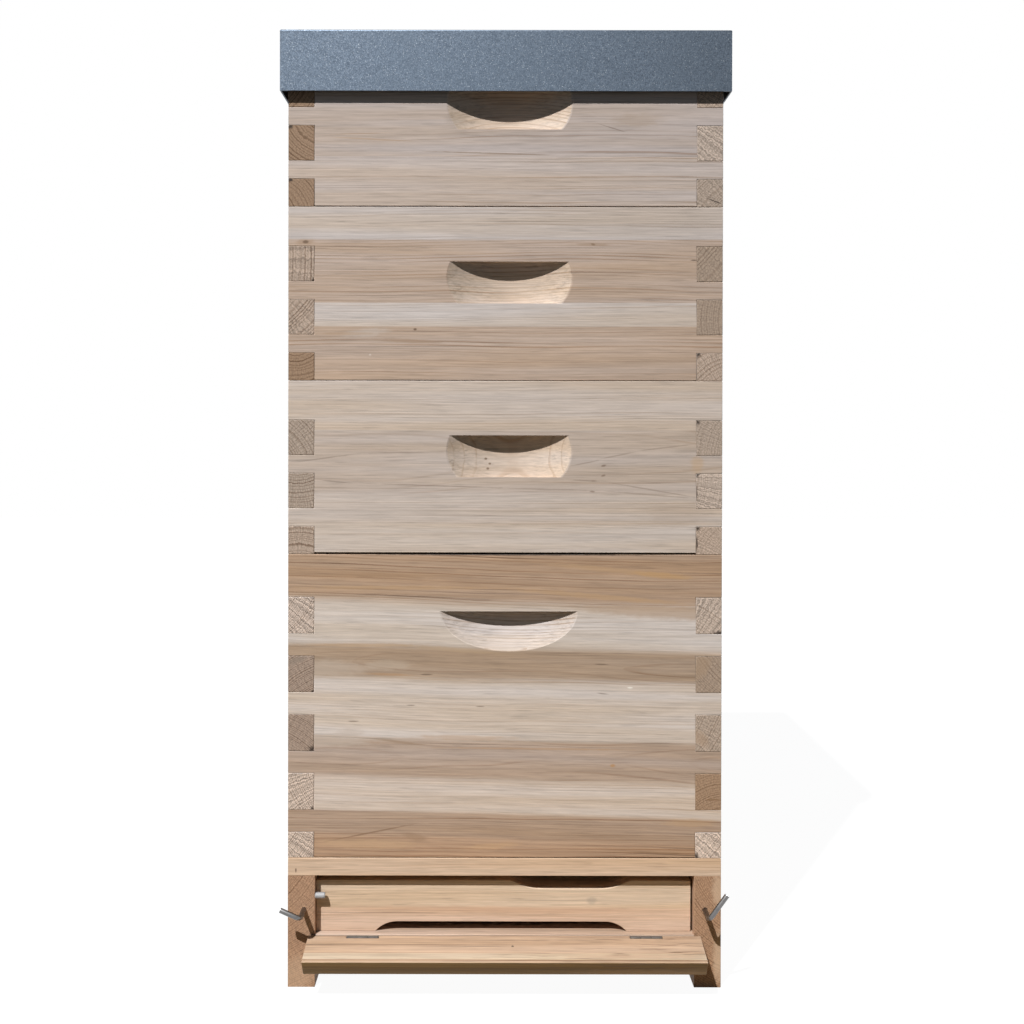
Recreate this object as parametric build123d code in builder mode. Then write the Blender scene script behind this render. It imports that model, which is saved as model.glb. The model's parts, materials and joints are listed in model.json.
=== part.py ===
from build123d import *
import math
import os

os.makedirs("parts", exist_ok=True)

# Wooden ten-frame beehive with a deep brood box and shallow supers.
# Millimetres, +Z up, the entrance faces -Y, the origin is on the ground under the middle.

# Boxes, outside
hive_width = 435.0
hive_length = 502.0
board_thickness = 26.0
brood_height = 305.0
super_height = 174.0
super_count = 3

# Finger joints, from the top of a box down
finger_fit = 0.1
brood_top_finger = 43.0
brood_pin = 36.5
brood_finger = 22.5
super_top_finger = 39.5
super_pin = 35.0
super_finger = 18.3

# Handholds, cut by a wide drum that turns on an upright axis in front of the board
grip_bands = 6
grip_offset = 4.0
super_grip_axis = 172.0
super_grip_drop = 54.5
super_grip_height = 42.0
super_grip_belly_drop = 13.0
super_grip_top_depth = 10.1
super_grip_belly_depth = 11.3
super_grip_foot_depth = 8.0
brood_grip_axis = 192.0
brood_grip_drop = 57.0
brood_grip_height = 40.5
brood_grip_depth = 12.1
brood_grip_run_out = 4.0

# Frames
frame_count = 10
frame_side_gap = 1.5
frame_end_gap = 7.5
frame_top_gap = 4.0
frame_foot_gap = 8.0
frame_spacing_gap = 0.5
rest_width = 13.0
lug_end_gap = 3.0
lug_thickness = 10.0
top_bar_width = 25.0
top_bar_thickness = 19.0
side_bar_thickness = 8.0
shoulder_length = 60.0
shoulder_taper = 30.0
bottom_bar_width = 20.0
bottom_bar_height = 10.0

# Cover
crown_thickness = 3.0
crown_gap = 3.0
roof_sheet = 0.8
roof_skirt = 61.0
roof_side_gap = 6.5
roof_end_gap = 5.8
roof_bend = 1.6
hem_height = 10.0

# Floor
floor_height = 130.0
rail_width = 27.0
crossbar_height = 18.0
crossbar_depth = 26.0
sill_top = 52.8
sill_thickness = 24.0
sill_depth = 70.0
rear_board_thickness = 26.0
mesh_thickness = 1.0
mesh_lap = 15.0
mesh_side_gap = 0.5
mesh_columns = 12
mesh_rows = 14
mesh_border = 14.0
mesh_bar = 5.0
batten_width = 12.0
batten_height = 11.0
batten_joint_gap = 0.2
tray_channel = 10.0
runner_height = 6.0
tray_sheet = 1.0
tray_side_gap = 1.0
tray_end_gap = 2.0
tray_rim_height = 7.0
tray_rim_gap = 0.2
tray_pull_height = 18.0
tray_pull_gap = 0.5
tray_pull_lip = 8.0

# Entrance block
block_recess = 8.4
block_depth = 34.0
block_left_gap = 0.3
block_right_gap = 2.0
block_top_gap = 7.7
slot_left = -130.0
slot_right = 123.5
slot_height = 9.5
slot_run_out = 21.5
notch_left = 6.5
notch_right = 127.5
notch_depth = 8.6
notch_run_out = 30.0
notch_lip_slope = 0.4

# Stop peg in the left rail
peg_radius = 3.0
peg_length_out = 9.8
peg_length_in = 14.0
peg_from_front = 3.1
peg_height = 91.2
peg_fit = 0.05

# Landing board and its hinges
landing_width = 394.0
landing_reach = 41.0
landing_thickness = 18.0
landing_slope = 12.0
landing_undercut = 20.5
landing_gap = 1.4
landing_drop = 0.2
hinge_spacing = 284.0
hinge_width = 32.0
hinge_knuckle_gap = 0.3
hinge_barrel_radius = 1.9
hinge_pin_radius = 0.95
hinge_pin_fit = 0.05
hinge_axis_forward = 2.45
hinge_axis_depth = 1.6
hinge_leaf_thickness = 1.2
hinge_leaf_height = 15.0
hinge_pocket_gap = 0.4

# Turn hooks
hook_from_side = 16.0
hook_height = 77.9
hook_rod_radius = 2.5
hook_stand_off = 21.7
hook_embedded = 25.0
hook_bend_radius = 5.0
hook_fit = 0.05
left_hook_arm = 21.5
left_hook_angle = 156.0
right_hook_arm = 30.0
right_hook_angle = 54.0

# Places that follow from the sizes above
inner_width = hive_width - 2 * board_thickness
inner_length = hive_length - 2 * board_thickness
roof_overhang = roof_end_gap + roof_sheet
front_face = -(hive_length + roof_overhang - landing_reach) / 2
back_face = front_face + hive_length
hive_middle = (front_face + back_face) / 2
brood_base = floor_height
hive_top = floor_height + brood_height + super_count * super_height

frame_pitch = (inner_width - 2 * frame_side_gap) / frame_count
frame_places = [(i - (frame_count - 1) / 2) * frame_pitch for i in range(frame_count)]
frame_length = inner_length - 2 * frame_end_gap
top_bar_length = inner_length + 2 * (rest_width - lug_end_gap)
rest_depth = frame_top_gap + lug_thickness
shoulder_width = frame_pitch - frame_spacing_gap

rail_inner = hive_width / 2 - rail_width
rail_middle = hive_width / 2 - rail_width / 2
crossbar_foot = floor_height - crossbar_height
sill_back = front_face + sill_depth
rear_inner = back_face - rear_board_thickness
batten_top = sill_top - mesh_thickness
batten_foot = batten_top - batten_height
runner_top = batten_foot - tray_channel


def pin_spans(base, height, top_finger, pin, finger):
    """Heights of the side boards' pins, from the top of a box down to its foot."""
    spans = []
    high = base + height - top_finger
    while high > base:
        low = max(high - pin, base)
        spans.append((low, high))
        high = low - finger
    return spans


def end_board(label, base, height, spans, outer_face, inward, grip, grip_axis):
    """Front or back board of a box: sockets for the pins, a rest for the frames, a handhold."""
    top = base + height
    socket = board_thickness + finger_fit
    rest_middle = outer_face + inward * (board_thickness - rest_width / 2)
    grip_middle = inward * grip_offset
    drum_axis = Axis((grip_middle, outer_face - inward * grip_axis, 0), (0, 0, 1))
    section = grip(lambda depth, drop: (outer_face + inward * depth, top - drop))
    with BuildPart() as board:
        with BuildSketch(Plane.XZ.offset(-outer_face - inward * board_thickness / 2)):
            with Locations((0, base + height / 2)):
                Rectangle(hive_width, height)
            for low, high in spans:
                for side in (-1, 1):
                    with Locations((side * (hive_width - socket) / 2, (low + high) / 2)):
                        Rectangle(socket, high - low + 2 * finger_fit, mode=Mode.SUBTRACT)
        extrude(amount=board_thickness / 2, both=True)
        with Locations((0, rest_middle, top - rest_depth / 2)):
            Box(inner_width, rest_width, rest_depth, mode=Mode.SUBTRACT)
        revolve(Pos(grip_middle, 0, 0) * section, axis=drum_axis, mode=Mode.SUBTRACT)
    board.part.label = label
    export_step(board.part, f"parts/{label}.step")


def drum_section(at, grip_axis, head, belly, foot):
    """Half section of the drum that cuts a handhold: an arc in short bands, closed at the drum's axis."""
    arc = ThreePointArc(at(*head), at(*belly), at(*foot), mode=Mode.PRIVATE)
    rim = [arc @ (band / grip_bands) for band in range(grip_bands + 1)]
    with BuildSketch(Plane.YZ) as section:
        with BuildLine():
            Polyline(
                at(-grip_axis, head[1]),
                *[(point.X, point.Y) for point in rim],
                at(-grip_axis, foot[1]),
                close=True,
            )
        make_face()
    return section.sketch


def super_grip(at):
    """Section of the supers' handhold: a barrel-shaped drum with a flat foot."""
    head = super_grip_drop
    return drum_section(
        at,
        super_grip_axis,
        (super_grip_top_depth, head),
        (super_grip_belly_depth, head + super_grip_belly_drop),
        (super_grip_foot_depth, head + super_grip_height),
    )


def brood_grip(at):
    """Section of the brood box's handhold: a scoop that runs out at its foot."""
    scoop_radius = (brood_grip_depth**2 + brood_grip_height**2) / (2 * brood_grip_depth)

    def scoop(fall):
        depth = brood_grip_depth - scoop_radius + math.sqrt(scoop_radius**2 - fall**2)
        return (depth, brood_grip_drop + fall)

    foot = brood_grip_height + brood_grip_run_out
    return drum_section(at, brood_grip_axis, scoop(0), scoop(foot / 2), scoop(foot))


def side_board(label, base, height, spans, side):
    """Left or right board of a box: its pins pass between the fingers and show at the front."""
    with BuildPart() as board:
        with BuildSketch(Plane.YZ.offset(side * (hive_width - board_thickness) / 2)):
            with Locations((hive_middle, base + height / 2)):
                Rectangle(inner_length - 2 * finger_fit, height)
            for low, high in spans:
                with Locations((hive_middle, (low + high) / 2)):
                    Rectangle(hive_length, high - low)
        extrude(amount=board_thickness / 2, both=True)
    board.part.label = label
    export_step(board.part, f"parts/{label}.step")


def frame_set(label, base, height):
    """The ten frames of a box: top bars with lugs, self-spacing side bars, bottom bars."""
    top = base + height - frame_top_gap
    foot = base + frame_foot_gap
    side_bar_top = top - top_bar_thickness
    with BuildPart() as top_bars:
        with Locations(*[(x, hive_middle, top - lug_thickness / 2) for x in frame_places]):
            Box(top_bar_width, top_bar_length, lug_thickness)
        with Locations(*[(x, hive_middle, top - top_bar_thickness / 2) for x in frame_places]):
            Box(top_bar_width, frame_length, top_bar_thickness)
    top_bars.part.label = f"{label}_top_bars"
    export_step(top_bars.part, f"parts/{label}_top_bars.step")

    outline = [
        (-top_bar_width / 2, foot),
        (top_bar_width / 2, foot),
        (top_bar_width / 2, side_bar_top - shoulder_length - shoulder_taper),
        (shoulder_width / 2, side_bar_top - shoulder_length),
        (shoulder_width / 2, side_bar_top),
        (-shoulder_width / 2, side_bar_top),
        (-shoulder_width / 2, side_bar_top - shoulder_length),
        (-top_bar_width / 2, side_bar_top - shoulder_length - shoulder_taper),
    ]
    with BuildPart() as side_bars:
        for end in (-1, 1):
            end_middle = hive_middle + end * (frame_length - side_bar_thickness) / 2
            with BuildSketch(Plane.XZ.offset(-end_middle)):
                with Locations(*[(x, 0) for x in frame_places]):
                    Polygon(*outline, align=None)
            extrude(amount=side_bar_thickness / 2, both=True)
    side_bars.part.label = f"{label}_side_bars"
    export_step(side_bars.part, f"parts/{label}_side_bars.step")

    bottom_bar_length = frame_length - 2 * side_bar_thickness
    with BuildPart() as bottom_bars:
        with Locations(*[(x, hive_middle, foot + bottom_bar_height / 2) for x in frame_places]):
            Box(bottom_bar_width, bottom_bar_length, bottom_bar_height)
    bottom_bars.part.label = f"{label}_bottom_bars"
    export_step(bottom_bars.part, f"parts/{label}_bottom_bars.step")


def hive_box(label, base, height, spans, grip, grip_axis):
    """One box: four finger-jointed boards and its frames."""
    end_board(f"{label}_front_board", base, height, spans, front_face, 1, grip, grip_axis)
    end_board(f"{label}_back_board", base, height, spans, back_face, -1, grip, grip_axis)
    side_board(f"{label}_left_board", base, height, spans, -1)
    side_board(f"{label}_right_board", base, height, spans, 1)
    frame_set(label, base, height)


# Brood box and supers
brood_spans = pin_spans(brood_base, brood_height, brood_top_finger, brood_pin, brood_finger)
hive_box("brood", brood_base, brood_height, brood_spans, brood_grip, brood_grip_axis)
for number in range(super_count):
    super_base = brood_base + brood_height + number * super_height
    super_spans = pin_spans(super_base, super_height, super_top_finger, super_pin, super_finger)
    hive_box(f"super_{number + 1}", super_base, super_height, super_spans, super_grip, super_grip_axis)

# Crown board on the top super's frames
with BuildPart() as crown_board:
    with Locations((0, hive_middle, hive_top - frame_top_gap + crown_thickness / 2)):
        Box(inner_width - 2 * crown_gap, inner_length - 2 * crown_gap, crown_thickness)
crown_board.part.label = "crown_board"
export_step(crown_board.part, "parts/crown_board.step")

# Roof: a folded sheet pan that lies on the top super's rim, with a hem inside its skirt
roof_width = hive_width + 2 * (roof_side_gap + roof_sheet)
roof_length = hive_length + 2 * roof_overhang
roof_top = hive_top + roof_sheet
roof_foot = roof_top - roof_skirt
hem_inset = 2 * roof_sheet
with BuildPart() as roof_pan:
    with BuildSketch(Plane.XY.offset(roof_foot)):
        with Locations((0, hive_middle)):
            Rectangle(roof_width, roof_length)
    extrude(amount=roof_skirt)
    fillet(roof_pan.faces().sort_by(Axis.Z)[-1].edges(), roof_bend)
    offset(amount=-roof_sheet, openings=roof_pan.faces().sort_by(Axis.Z)[0])
    with BuildSketch(Plane.XY.offset(roof_foot)):
        with Locations((0, hive_middle)):
            Rectangle(roof_width - roof_sheet, roof_length - roof_sheet)
            Rectangle(roof_width - 2 * hem_inset, roof_length - 2 * hem_inset, mode=Mode.SUBTRACT)
    extrude(amount=hem_height)
roof_pan.part.label = "roof_pan"
export_step(roof_pan.part, "parts/roof_pan.step")

# Side rails: legs and side walls of the floor, notched at the front for the crossbar
for side, label in ((-1, "left_rail"), (1, "right_rail")):
    hook_x = side * (hive_width / 2 - hook_from_side)
    with BuildPart() as rail:
        with BuildSketch(Plane.YZ.offset(side * rail_middle)):
            with BuildLine():
                Polyline(
                    (front_face, 0),
                    (back_face, 0),
                    (back_face, floor_height),
                    (front_face + crossbar_depth, floor_height),
                    (front_face + crossbar_depth, crossbar_foot),
                    (front_face, crossbar_foot),
                    close=True,
                )
            make_face()
        extrude(amount=rail_width / 2, both=True)
        with Locations(Plane(origin=(hook_x, front_face, hook_height), z_dir=(0, -1, 0))):
            Hole(hook_rod_radius + hook_fit, hook_embedded)
        if side < 0:
            peg_plane = Plane(
                origin=(-rail_inner, front_face + peg_from_front, peg_height), z_dir=(1, 0, 0)
            )
            with Locations(peg_plane):
                Hole(peg_radius + peg_fit, peg_length_in)
    rail.part.label = label
    export_step(rail.part, f"parts/{label}.step")

# Crossbar over the entrance
with BuildPart() as front_crossbar:
    with Locations((0, front_face + crossbar_depth / 2, floor_height - crossbar_height / 2)):
        Box(hive_width, crossbar_depth, crossbar_height)
front_crossbar.part.label = "front_crossbar"
export_step(front_crossbar.part, "parts/front_crossbar.step")

# Rear board between the rails, above the tray's slot
with BuildPart() as rear_board:
    with Locations((0, back_face - rear_board_thickness / 2, (floor_height + batten_foot) / 2)):
        Box(2 * rail_inner, rear_board_thickness, floor_height - batten_foot)
rear_board.part.label = "rear_board"
export_step(rear_board.part, "parts/rear_board.step")

# Sill under the entrance block, with a step behind it for the mesh
with BuildPart() as front_sill:
    with Locations((0, front_face + sill_depth / 2, sill_top - sill_thickness / 2)):
        Box(2 * rail_inner, sill_depth, sill_thickness)
    with Locations((0, sill_back - mesh_lap / 2, sill_top - mesh_thickness / 2)):
        Box(2 * rail_inner, mesh_lap, mesh_thickness, mode=Mode.SUBTRACT)
front_sill.part.label = "front_sill"
export_step(front_sill.part, "parts/front_sill.step")

# Mesh screen: one sheet with a grid of gaps
mesh_width = 2 * (rail_inner - mesh_side_gap)
mesh_front = sill_back - mesh_lap
mesh_length = rear_inner - mesh_front
mesh_pitch_x = (mesh_width - 2 * mesh_border + mesh_bar) / mesh_columns
mesh_pitch_y = (mesh_length - 2 * mesh_border + mesh_bar) / mesh_rows
with BuildPart() as mesh_screen:
    with BuildSketch(Plane.XY.offset(batten_top)):
        with Locations((0, mesh_front + mesh_length / 2)):
            Rectangle(mesh_width, mesh_length)
            with GridLocations(mesh_pitch_x, mesh_pitch_y, mesh_columns, mesh_rows):
                Rectangle(mesh_pitch_x - mesh_bar, mesh_pitch_y - mesh_bar, mode=Mode.SUBTRACT)
    extrude(amount=mesh_thickness)
mesh_screen.part.label = "mesh_screen"
export_step(mesh_screen.part, "parts/mesh_screen.step")

# Battens under the mesh: one on each rail and one on the rear board
batten_length = rear_inner - sill_back
batten_middle = (rear_inner + sill_back) / 2
batten_z = batten_top - batten_height / 2
with BuildPart() as mesh_battens:
    for side in (-1, 1):
        with Locations((side * (rail_inner - batten_width / 2), batten_middle, batten_z)):
            Box(batten_width, batten_length, batten_height)
    with Locations((0, rear_inner - batten_width / 2, batten_z)):
        Box(2 * (rail_inner - batten_width - batten_joint_gap), batten_width, batten_height)
mesh_battens.part.label = "mesh_battens"
export_step(mesh_battens.part, "parts/mesh_battens.step")

# Runners on the rails that carry the tray
runner_length = back_face - sill_back
with BuildPart() as tray_runners:
    for side in (-1, 1):
        runner_x = side * (rail_inner - batten_width / 2)
        with Locations((runner_x, sill_back + runner_length / 2, runner_top - runner_height / 2)):
            Box(batten_width, runner_length, runner_height)
tray_runners.part.label = "tray_runners"
export_step(tray_runners.part, "parts/tray_runners.step")

# Tray: a flat sheet on the runners
tray_width = 2 * (rail_inner - tray_side_gap)
tray_front = sill_back + tray_end_gap
tray_back = back_face + tray_pull_gap + tray_sheet
tray_length = tray_back - tray_front
tray_top = runner_top + tray_sheet
with BuildPart() as tray:
    with Locations((0, tray_front + tray_length / 2, tray_top - tray_sheet / 2)):
        Box(tray_width, tray_length, tray_sheet)
tray.part.label = "tray"
export_step(tray.part, "parts/tray.step")

# Rims that stand on the tray's sides and front
rim_length = tray_length - tray_sheet - tray_rim_gap
rim_z = tray_top + tray_rim_height / 2
with BuildPart() as tray_rims:
    for side in (-1, 1):
        with Locations((side * (tray_width - tray_sheet) / 2, tray_front + rim_length / 2, rim_z)):
            Box(tray_sheet, rim_length, tray_rim_height)
    with Locations((0, tray_front + tray_sheet / 2, rim_z)):
        Box(tray_width - 2 * (tray_sheet + tray_rim_gap), tray_sheet, tray_rim_height)
tray_rims.part.label = "tray_rims"
export_step(tray_rims.part, "parts/tray_rims.step")

# Pull at the back of the tray: it covers the slot and ends in a lip
pull_top = runner_top + tray_pull_height
with BuildPart() as tray_pull:
    with Locations((0, tray_back - tray_sheet / 2, (tray_top + pull_top) / 2)):
        Box(tray_width, tray_sheet, pull_top - tray_top)
    with Locations((0, tray_back + tray_pull_lip / 2, pull_top - tray_sheet / 2)):
        Box(tray_width, tray_pull_lip, tray_sheet)
tray_pull.part.label = "tray_pull"
export_step(tray_pull.part, "parts/tray_pull.step")

# Entrance block: a long slot along the sill and a short notch at the top
block_left = -rail_inner + block_left_gap
block_right = rail_inner - block_right_gap
block_top = crossbar_foot - block_top_gap
block_front = front_face + block_recess
slot_run_out_radius = (slot_run_out**2 + slot_height**2) / (2 * slot_height)
with BuildPart() as entrance_block:
    with BuildSketch(Plane.XZ.offset(-block_front - block_depth)):
        with BuildLine():
            Polyline((block_left, sill_top), (block_left, block_top), (notch_left, block_top))
            Spline(
                (notch_left, block_top),
                (notch_left + notch_run_out, block_top - notch_depth),
                tangents=((1, -notch_lip_slope), (1, 0)),
            )
            Line(
                (notch_left + notch_run_out, block_top - notch_depth),
                (notch_right - notch_run_out, block_top - notch_depth),
            )
            Spline(
                (notch_right - notch_run_out, block_top - notch_depth),
                (notch_right, block_top),
                tangents=((1, 0), (1, notch_lip_slope)),
            )
            Polyline(
                (notch_right, block_top),
                (block_right, block_top),
                (block_right, sill_top),
                (slot_right, sill_top),
            )
            RadiusArc(
                (slot_right, sill_top),
                (slot_right - slot_run_out, sill_top + slot_height),
                -slot_run_out_radius,
            )
            Line(
                (slot_right - slot_run_out, sill_top + slot_height),
                (slot_left + slot_run_out, sill_top + slot_height),
            )
            RadiusArc(
                (slot_left + slot_run_out, sill_top + slot_height),
                (slot_left, sill_top),
                -slot_run_out_radius,
            )
            Line((slot_left, sill_top), (block_left, sill_top))
        make_face()
    extrude(amount=block_depth)
entrance_block.part.label = "entrance_block"
export_step(entrance_block.part, "parts/entrance_block.step")

# Stop peg in the left rail, in front of the block
peg_plane = Plane(
    origin=(-rail_inner - peg_length_in, front_face + peg_from_front, peg_height), z_dir=(1, 0, 0)
)
with BuildPart() as stop_peg:
    with BuildSketch(peg_plane):
        Circle(peg_radius)
    extrude(amount=peg_length_in + peg_length_out)
stop_peg.part.label = "stop_peg"
export_step(stop_peg.part, "parts/stop_peg.step")

# Landing board: slopes down from the sill, cut upright at the back and undercut at the front
slope = math.radians(landing_slope)
hinge_y = front_face - hinge_axis_forward
back_end = front_face - landing_gap
back_rise = (hinge_axis_depth + (hinge_axis_forward - landing_gap) * math.sin(slope)) / math.cos(slope)
top_back = sill_top - landing_drop
hinge_z = top_back - back_rise
front_end = front_face - landing_reach
top_front = top_back - (back_end - front_end) * math.tan(slope)
under_back = top_back - landing_thickness / math.cos(slope)
undercut = math.radians(landing_undercut)
under_front_y = front_end + landing_thickness * (math.sin(slope) + math.tan(undercut) * math.cos(slope))
under_front_z = top_front - landing_thickness * (math.cos(slope) - math.tan(undercut) * math.sin(slope))
hinge_places = (-hinge_spacing / 2, hinge_spacing / 2)
pocket_width = hinge_width + 2 * hinge_pocket_gap
pocket_depth = 2 * hinge_axis_forward - landing_gap + hinge_pocket_gap
with BuildPart() as landing_board:
    with BuildSketch(Plane.YZ):
        with BuildLine():
            Polyline(
                (back_end, top_back),
                (front_end, top_front),
                (under_front_y, under_front_z),
                (back_end, under_back),
                close=True,
            )
        make_face()
    extrude(amount=landing_width / 2, both=True)
    for x in hinge_places:
        with Locations((x, back_end - pocket_depth / 2, top_back)):
            Box(pocket_width, pocket_depth, 2 * top_back, mode=Mode.SUBTRACT)
landing_board.part.label = "landing_board"
export_step(landing_board.part, "parts/landing_board.step")

# Butt hinges: the outer knuckles belong to the sill's leaves, the middle one to the board's
knuckle = hinge_width / 3
knuckle_short = knuckle - hinge_knuckle_gap
leaf_head = hinge_z - hinge_barrel_radius - hinge_knuckle_gap
leaf_foot = hinge_z - hinge_leaf_height
hinge_point = (hinge_y, hinge_z)


def hinge_leaf(centre, plate_y, knuckle_places):
    """One leaf: a plate below the barrel, its knuckles and the webs between them, bored for the pin."""
    with BuildPart() as leaf:
        with Locations((centre, plate_y, (leaf_head + leaf_foot) / 2)):
            Box(hinge_width, hinge_leaf_thickness, leaf_head - leaf_foot)
        for place in knuckle_places:
            with Locations((centre + place, plate_y, (hinge_z + leaf_head) / 2)):
                Box(knuckle_short, hinge_leaf_thickness, hinge_z - leaf_head)
            with BuildSketch(Plane.YZ.offset(centre + place - knuckle_short / 2)):
                with Locations(hinge_point):
                    Circle(hinge_barrel_radius)
            extrude(amount=knuckle_short)
        with BuildSketch(Plane.YZ.offset(centre - hinge_width / 2)):
            with Locations(hinge_point):
                Circle(hinge_pin_radius + hinge_pin_fit)
        extrude(amount=hinge_width, mode=Mode.SUBTRACT)
    return leaf.part


fixed_plate_y = front_face - hinge_leaf_thickness / 2
fixed_leaves = [hinge_leaf(x, fixed_plate_y, (-knuckle, knuckle)) for x in hinge_places]
with BuildPart() as hinge_fixed_leaves:
    add(fixed_leaves)
hinge_fixed_leaves.part.label = "hinge_fixed_leaves"
export_step(hinge_fixed_leaves.part, "parts/hinge_fixed_leaves.step")

moving_plate_y = hinge_y - hinge_axis_forward + hinge_leaf_thickness / 2
moving_leaves = [hinge_leaf(x, moving_plate_y, (0,)) for x in hinge_places]
with BuildPart() as hinge_moving_leaves:
    add(moving_leaves)
hinge_moving_leaves.part.label = "hinge_moving_leaves"
export_step(hinge_moving_leaves.part, "parts/hinge_moving_leaves.step")

with BuildPart() as hinge_pins:
    for x in hinge_places:
        with BuildSketch(Plane.YZ.offset(x - hinge_width / 2)):
            with Locations(hinge_point):
                Circle(hinge_pin_radius)
        extrude(amount=hinge_width)
hinge_pins.part.label = "hinge_pins"
export_step(hinge_pins.part, "parts/hinge_pins.step")

# Turn hooks: steel rods, bent at a right angle, that turn in the front ends of the rails
hooks = (
    ("left_hook", -1, left_hook_arm, left_hook_angle),
    ("right_hook", 1, right_hook_arm, right_hook_angle),
)
for label, side, arm, angle in hooks:
    hook_x = side * (hive_width / 2 - hook_from_side)
    lean = math.radians(angle)
    root = (hook_x, front_face + hook_embedded, hook_height)
    elbow = (hook_x, front_face - hook_stand_off, hook_height)
    tip = (elbow[0] + arm * math.cos(lean), elbow[1], hook_height + arm * math.sin(lean))
    with BuildPart() as hook:
        with BuildLine():
            FilletPolyline(root, elbow, tip, radius=hook_bend_radius)
        with BuildSketch(Plane(origin=root, z_dir=(0, -1, 0))):
            Circle(hook_rod_radius)
        sweep()
    hook.part.label = label
    export_step(hook.part, f"parts/{label}.step")
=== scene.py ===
import json
import math

import bmesh
import bpy
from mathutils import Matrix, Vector


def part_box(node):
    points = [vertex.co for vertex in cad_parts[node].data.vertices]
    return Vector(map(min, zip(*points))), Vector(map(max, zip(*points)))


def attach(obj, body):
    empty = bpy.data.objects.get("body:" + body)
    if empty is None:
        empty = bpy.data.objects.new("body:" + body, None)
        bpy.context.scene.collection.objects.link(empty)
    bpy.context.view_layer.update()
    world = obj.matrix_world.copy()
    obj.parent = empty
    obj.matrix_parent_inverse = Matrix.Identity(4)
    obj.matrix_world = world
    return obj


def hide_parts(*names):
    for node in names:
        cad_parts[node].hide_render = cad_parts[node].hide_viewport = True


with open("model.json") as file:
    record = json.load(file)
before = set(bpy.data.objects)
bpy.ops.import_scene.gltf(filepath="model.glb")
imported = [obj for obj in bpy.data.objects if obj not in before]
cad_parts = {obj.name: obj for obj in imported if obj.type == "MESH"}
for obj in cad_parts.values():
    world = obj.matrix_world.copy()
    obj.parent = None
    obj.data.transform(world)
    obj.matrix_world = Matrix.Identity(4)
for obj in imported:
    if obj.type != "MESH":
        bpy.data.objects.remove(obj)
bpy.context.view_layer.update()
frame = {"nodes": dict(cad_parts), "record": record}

# Side rails
# Two softwood boards stand on edge and run from front to back, so their front ends are the legs.
# They are planed smooth, the saw-cut ends show end grain, and the rest of the floor is screwed to them.
mm = 0.001
axis_number = {"X": 0, "Y": 1, "Z": 2}
body_of_node = {}
for body_name, body_nodes in frame["record"]["behaviour"]["bodies"].items():
    for body_node in body_nodes:
        body_of_node[body_node] = body_name


def join(tree, value, socket):
    """Gives a socket a plain value, or joins another node's output to it."""
    if isinstance(value, bpy.types.NodeSocket):
        tree.links.new(value, socket)
    else:
        socket.default_value = value


def calc(tree, operation, *terms):
    """The answer of one sum, whose terms are numbers or outputs of other nodes."""
    node = tree.nodes.new("ShaderNodeMath")
    node.operation = operation
    for term, socket in zip(terms, node.inputs):
        join(tree, term, socket)
    return node.outputs[0]


def spread(tree, value, low, high, new_low=0.0, new_high=1.0):
    """A value's way from low to high, softly eased, put between two new ends."""
    node = tree.nodes.new("ShaderNodeMapRange")
    node.interpolation_type = "SMOOTHSTEP"
    for name, number in (("Value", value), ("From Min", low), ("From Max", high),
                         ("To Min", new_low), ("To Max", new_high)):
        join(tree, number, node.inputs[name])
    return node.outputs["Result"]


def cloud(tree, place, stretch, detail=2.0, roughness=0.55):
    """Soft noise, drawn out by its own stretch along, into and up the wood."""
    scaled = tree.nodes.new("ShaderNodeVectorMath")
    scaled.operation = "MULTIPLY"
    join(tree, place, scaled.inputs[0])
    scaled.inputs[1].default_value = stretch
    node = tree.nodes.new("ShaderNodeTexNoise")
    node.inputs["Scale"].default_value = 1.0
    node.inputs["Detail"].default_value = detail
    node.inputs["Roughness"].default_value = roughness
    tree.links.new(scaled.outputs[0], node.inputs["Vector"])
    return node.outputs["Fac"]


def blend_colours(tree, share, first, second, kind="MIX"):
    """Two colours mixed by a share."""
    node = tree.nodes.new("ShaderNodeMix")
    node.data_type = "RGBA"
    node.blend_type = kind
    join(tree, share, node.inputs[0])
    join(tree, first, node.inputs[6])
    join(tree, second, node.inputs[7])
    return node.outputs[2]


def axes_of(tree, vector):
    """A vector's three numbers."""
    node = tree.nodes.new("ShaderNodeSeparateXYZ")
    join(tree, vector, node.inputs[0])
    return node.outputs


def vector_of(tree, *numbers):
    """One vector from three numbers."""
    node = tree.nodes.new("ShaderNodeCombineXYZ")
    for number, socket in zip(numbers, node.inputs):
        join(tree, number, socket)
    return node.outputs[0]


def dimmed(tree, colour, level):
    """A colour made lighter or darker by a level."""
    return blend_colours(tree, 1.0, colour, vector_of(tree, level, level, level), "MULTIPLY")


def line_noise(tree, value, scale):
    """Soft noise that changes along one number only."""
    node = tree.nodes.new("ShaderNodeTexNoise")
    node.noise_dimensions = "1D"
    node.inputs["Scale"].default_value = scale
    node.inputs["Detail"].default_value = 1.0
    tree.links.new(value, node.inputs["W"])
    return node.outputs


def new_finish(name):
    """An empty material, with its node tree and its shader."""
    material = bpy.data.materials.new(name)
    material.use_nodes = True
    return material, material.node_tree, material.node_tree.nodes["Principled BSDF"]


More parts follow.
